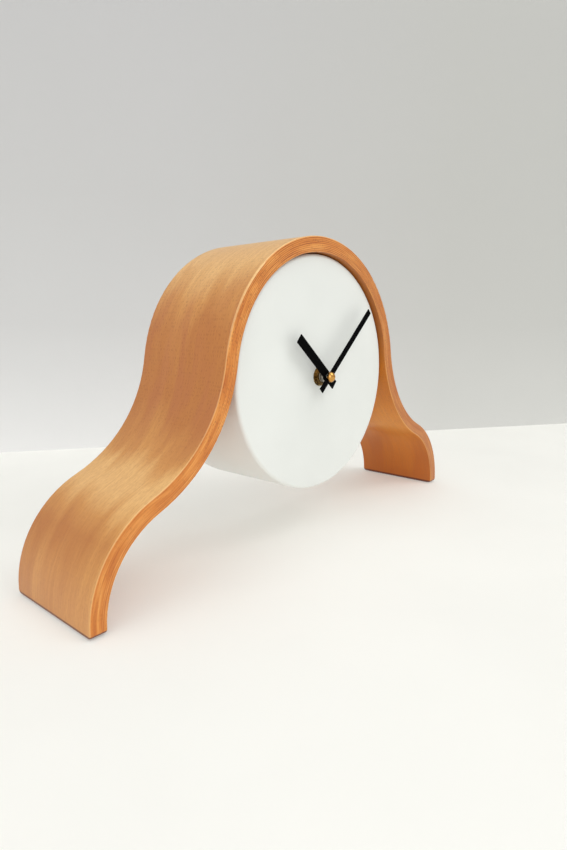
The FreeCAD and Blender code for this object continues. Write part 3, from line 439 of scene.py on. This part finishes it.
def nickel_bushing():
    """Nickel barrel, with painted shade in the thread's grooves."""
    paint = Paint("bushing_nickel", roughness=0.34, metallic=1.0)
    y = paint.split(paint.place())[1]
    rings = paint.math("SINE", paint.times(y, math.tau / THREAD_PITCH))
    shade = paint.times_plus(rings, 0.5, 0.5)
    paint.set("Base Color", paint.ramp(shade, (0.15, linear(96, 92, 84)),
                                       (0.65, linear(206, 202, 192))))
    paint.bump(shade, 0.5, 0.3 * MM)
    paint.put_on("threaded_bushing")


def plastic(name, colour, roughness, nodes, scale=900.0):
    """Moulded plastic or rubber: a faint clouding and a fine spark-eroded grain."""
    paint = Paint(name)
    cloud = paint.noise(paint.place(), scale / 12)
    paint.set("Base Color", paint.ramp(cloud, (0.35, shaded(colour, 0.82)), (0.65, colour)))
    grain = paint.noise(paint.place(), scale)
    paint.set("Roughness", paint.times_plus(grain, 0.14, roughness - 0.07))
    paint.bump(grain, 0.10, 0.2 * MM)
    paint.put_on(*nodes)
    return paint


def turned_metal(name, colour, roughness, nodes, tarnish=None, scale=500.0):
    """Metal with a soft clouding of tarnish and fine marks."""
    paint = Paint(name, metallic=1.0)
    cloud = paint.noise(paint.place(), scale, 3.0)
    dull = tarnish or shaded(colour, 0.72)
    paint.set("Base Color", paint.ramp(cloud, (0.38, dull), (0.60, colour)))
    marks = paint.noise(paint.place(), scale * 6, 3.0)
    paint.set("Roughness", paint.times_plus(marks, 0.16, roughness - 0.06))
    paint.bump(marks, 0.05, 0.1 * MM)
    paint.put_on(*nodes)
    return paint


def shade_nut_flank(cap):
    """Paints shade on the hand nut's flank, behind its polished dome."""
    depths = [point.co.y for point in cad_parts["cap_nut"].data.vertices]
    front, back = min(depths), max(depths)
    behind = cap.times_plus(cap.split(cap.place())[1], 1 / (back - front), -front / (back - front))
    bright = cap.shader.inputs["Base Color"].links[0].from_socket
    flank = cap.ramp(behind, (0.50, 0.0), (0.62, 0.8))
    cap.set("Base Color", cap.mix(flank, bright, linear(96, 64, 30)))


# The bushing's thread, in turns and in shares of its pitch
TURNS_BEFORE, TURNS_AFTER, RUN_OUT_TURNS = 1.2, 0.5, 0.25
RIDGE_HALF_WIDTH = 0.4
SUNK_RADIUS = BUSHING_RADIUS * 0.99


def thread_points(across, height, start, steps):
    """Three points at each step of the winding: the ridge's front foot, crest and back foot."""
    points = []
    for step in range(steps + 1):
        angle = math.tau * step / THREAD_STEPS
        from_end = min(step, steps - step) / THREAD_STEPS
        crest = BUSHING_RADIUS + THREAD_HEIGHT * min(1.0, from_end / RUN_OUT_TURNS)
        y = start + THREAD_PITCH * step / THREAD_STEPS
        for reach, shift in ((SUNK_RADIUS, -RIDGE_HALF_WIDTH), (crest, 0.0),
                             (SUNK_RADIUS, RIDGE_HALF_WIDTH)):
            points.append((across + math.sin(angle) * reach, y + shift * THREAD_PITCH,
                           height + math.cos(angle) * reach))
    return points


def add_thread():
    """The thread on the bushing's bare end: a low ridge that winds from the mouth to the nut."""
    low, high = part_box("threaded_bushing")
    start = low[1] + THREAD_PITCH * TURNS_BEFORE
    turns = (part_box("hex_nut")[0][1] - THREAD_PITCH * TURNS_AFTER - start) / THREAD_PITCH
    steps = int(turns * THREAD_STEPS)
    points = thread_points((low[0] + high[0]) / 2, (low[2] + high[2]) / 2, start, steps)
    faces = [(0, 1, 2), (steps * 3 + 2, steps * 3 + 1, steps * 3)]
    for first in range(0, steps * 3, 3):
        for corner in range(3):
            after = (corner + 1) % 3
            faces.append((first + corner, first + 3 + corner, first + 3 + after, first + after))
    shape = bpy.data.meshes.new("bushing_thread")
    shape.from_pydata(points, [], faces)
    ordered = bmesh.new()
    ordered.from_mesh(shape)
    bmesh.ops.recalc_face_normals(ordered, faces=ordered.faces)
    ordered.to_mesh(shape)
    ordered.free()
    ridge = bpy.data.objects.new("bushing_thread", shape)
    bpy.context.scene.collection.objects.link(ridge)
    shape.materials.append(bpy.data.materials["bushing_nickel"])
    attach(ridge, "root")


def paint_all():
    beech()
    white_drum()
    battery_sleeve()
    nickel_bushing()
    plastic("pad_rubber", linear(54, 30, 22), 0.8, ["foot_pads"])
    plastic("soft_rubber", linear(40, 40, 42), 0.8,
            ["screw_cushions", "drum_spacers", "bushing_gasket"])
    hands = plastic("hand_black", linear(6, 6, 7), 0.6, ["hour_hand", "minute_hand"], 1600.0)
    hands.set("Specular IOR Level", 0.02)
    plastic("case_black", linear(34, 34, 36), 0.5, ["movement_case", "movement_cover"])
    plastic("knob_black", linear(30, 30, 31), 0.45, ["setting_knob"])
    plastic("plate_grey", linear(176, 178, 178), 0.5, ["train_plate"])
    plastic("bobbin_white", linear(226, 224, 214), 0.5, ["coil_bobbin"])
    plastic("wheel_white", linear(232, 229, 216), 0.45,
            ["centre_wheel", "hour_wheel", "motion_wheel", "third_wheel", "fourth_wheel",
             "fast_wheel", "rotor_pinion"])
    plastic("board_green", linear(46, 98, 60), 0.45, ["circuit_board"])
    plastic("resin_black", linear(20, 20, 21), 0.35, ["driver_chip"])
    turned_metal("brass", linear(166, 138, 88), 0.30, ["brass_washer", "hex_nut"],
                 linear(88, 68, 38), 700.0)
    cap = turned_metal("cap_brass", linear(222, 170, 94), 0.12, ["cap_nut"],
                       linear(200, 142, 70), 60.0)
    shade_nut_flank(cap)
    turned_metal("screw_zinc", linear(190, 188, 182), 0.32, ["drum_screws"])
    turned_metal("arbor_steel", linear(190, 190, 190), 0.25,
                 ["minute_arbor", "coil_core", "quartz_crystal"])
    turned_metal("stator_iron", linear(150, 152, 154), 0.35, ["stator"])
    turned_metal("magnet_grey", linear(92, 92, 94), 0.4, ["rotor_magnet"])
    turned_metal("contact_nickel", linear(204, 200, 190), 0.28,
                 ["contact_negative", "contact_positive"])
    turned_metal("copper_wire", linear(176, 92, 48), 0.35, ["coil_winding"])


# The stage: two points of the line where table and wall meet, in the photograph's pixels, and
# how far the table and the wall reach, in metres
LEFT_PIXEL, RIGHT_PIXEL = (0, 452.5), (437, 430)
TABLE_REACH, WALL_HEIGHT = 4, 3
WALL_SHADE_HEIGHT = 0.6
TABLE_GLOW, TABLE_BOUNCE = 0.27, 0.16
WALL_GLOW, WALL_BOUNCE = 0.4, 0.0


def open_from_behind(paint):
    """Makes a wall one-sided, so that it doesn't hide the clock's back."""
    behind = paint.add("ShaderNodeNewGeometry").outputs["Backfacing"]
    clear = paint.add("ShaderNodeBsdfTransparent").outputs[0]
    seen = paint.add("ShaderNodeMixShader", {0: behind, 1: paint.shader.outputs[0], 2: clear})
    paint.tree.links.new(seen.outputs[0], paint.tree.nodes["Material Output"].inputs["Surface"])


def seen_directly(paint):
    """1 for the camera, and for what gloss or glass shows. 0 for the light that is thrown back."""
    rays = paint.add("ShaderNodeLightPath").outputs
    mirrored = paint.math("MAXIMUM", rays["Is Glossy Ray"], rays["Is Transmission Ray"])
    return paint.math("MAXIMUM", rays["Is Camera Ray"], mirrored)


def add_plane(name, corners, colour_of, glow, bounce):
    """A flat piece of the stage. glow is the share of its tone that no shadow takes away, and
    bounce is the light that it gives to the clock beyond what falls on it."""
    shape = bpy.data.meshes.new(name)
    shape.from_pydata([tuple(corner) for corner in corners], [], [tuple(range(len(corners)))])
    plane = bpy.data.objects.new(name, shape)
    bpy.context.scene.collection.objects.link(plane)
    paint = Paint(name, roughness=0.8)
    tone = colour_of(paint)
    seen = seen_directly(paint)
    paint.set("Base Color", paint.mix(paint.times(seen, glow), tone, BLACK))
    paint.set("Emission Color", tone)
    paint.set("Emission Strength", paint.times_plus(seen, glow - bounce, bounce))
    paint.material.cycles.emission_sampling = "NONE"
    paint.bump(paint.noise(paint.place(), 260.0, 3.0), 0.08, 0.8 * MM)
    paint.set("Specular IOR Level", 0.2)
    shape.materials.append(paint.material)
    return paint


def table_colour(paint):
    cloud = paint.noise(paint.place(), 6.0, 3.0)
    return paint.ramp(cloud, (0.35, linear(248, 248, 243)), (0.65, linear(251, 251, 246)))


def wall_colour(paint, left, right):
    """Grey, paler low down where the table lights it, and with painted shade to the picture's
    right side.
    """
    height = paint.times(paint.split(paint.place())[2], 1 / WALL_SHADE_HEIGHT)
    tone = paint.ramp(height, (0.0, linear(234, 234, 233)), (0.28, linear(209, 209, 208)),
                      (0.55, linear(200, 200, 199)), (0.95, linear(193, 193, 193)))
    cloud = paint.ramp(paint.noise(paint.place(), 5.0, 3.0), (0.35, 0.10), (0.65, 0.0))
    tone = paint.mix(cloud, tone, linear(190, 190, 188))
    run = (right - left) / (right - left).length_squared
    across = paint.add("ShaderNodeVectorMath", {0: paint.place(), 1: tuple(run)},
                       operation="DOT_PRODUCT").outputs["Value"]
    across = paint.math("SUBTRACT", across, run.dot(left))
    return paint.mix(paint.ramp(across, (0.4, 0.0), (1.0, 0.5)), tone, linear(186, 187, 180))


def add_stage():
    """A pale table that meets a grey wall along the line that the photograph shows."""
    left, right = floor_point(*LEFT_PIXEL), floor_point(*RIGHT_PIXEL)
    run = (right - left).normalized()
    start, end = left - run * TABLE_REACH, right + run * TABLE_REACH
    front = Vector((run.y, -run.x, 0)) * TABLE_REACH
    add_plane("table", (start + front, end + front, end - front, start - front),
              table_colour, TABLE_GLOW, TABLE_BOUNCE)
    lift = Vector((0, 0, WALL_HEIGHT))
    wall = add_plane("wall", (start, end, end + lift, start + lift),
                     lambda paint: wall_colour(paint, left, right), WALL_GLOW, WALL_BOUNCE)
    open_from_behind(wall)


# Name, place, target, width in metres and power in watts of each round lamp
LAMPS = (("softbox", (0.35, -0.95, 1.30), (0, 0, 0.15), 0.8, 4.3),
         ("front", (-0.95, -0.9, 0.5), (0, 0, 0.08), 1.0, 3.0),
         ("fill", (-1.2, 0.0, 1.1), (0, 0, 0.15), 1.2, 2.5),
         ("overhead", (-0.1, -0.05, 1.75), (-0.1, -0.05, 0), 2.2, 5))
ROOM_COLOUR, ROOM_STRENGTH = (1.0, 0.99, 0.975, 1.0), 0.71


def add_lamp(name, place, target, size, power):
    data = bpy.data.lights.new(name, "AREA")
    data.shape = "DISK"
    data.size = size
    data.energy = power
    lamp = bpy.data.objects.new(name, data)
    bpy.context.scene.collection.objects.link(lamp)
    lamp.location = place
    lamp.rotation_mode = "QUATERNION"
    lamp.rotation_quaternion = (Vector(target) - Vector(place)).to_track_quat("-Z", "Y")


def add_light():
    world = bpy.data.worlds.new("studio")
    bpy.context.scene.world = world
    world.use_nodes = True
    room = world.node_tree.nodes["Background"]
    room.inputs["Color"].default_value = ROOM_COLOUR
    room.inputs["Strength"].default_value = ROOM_STRENGTH
    for lamp in LAMPS:
        add_lamp(*lamp)


bpy.context.scene.view_settings.view_transform = "Standard"
add_camera()
add_stage()
add_light()
paint_all()
add_thread()
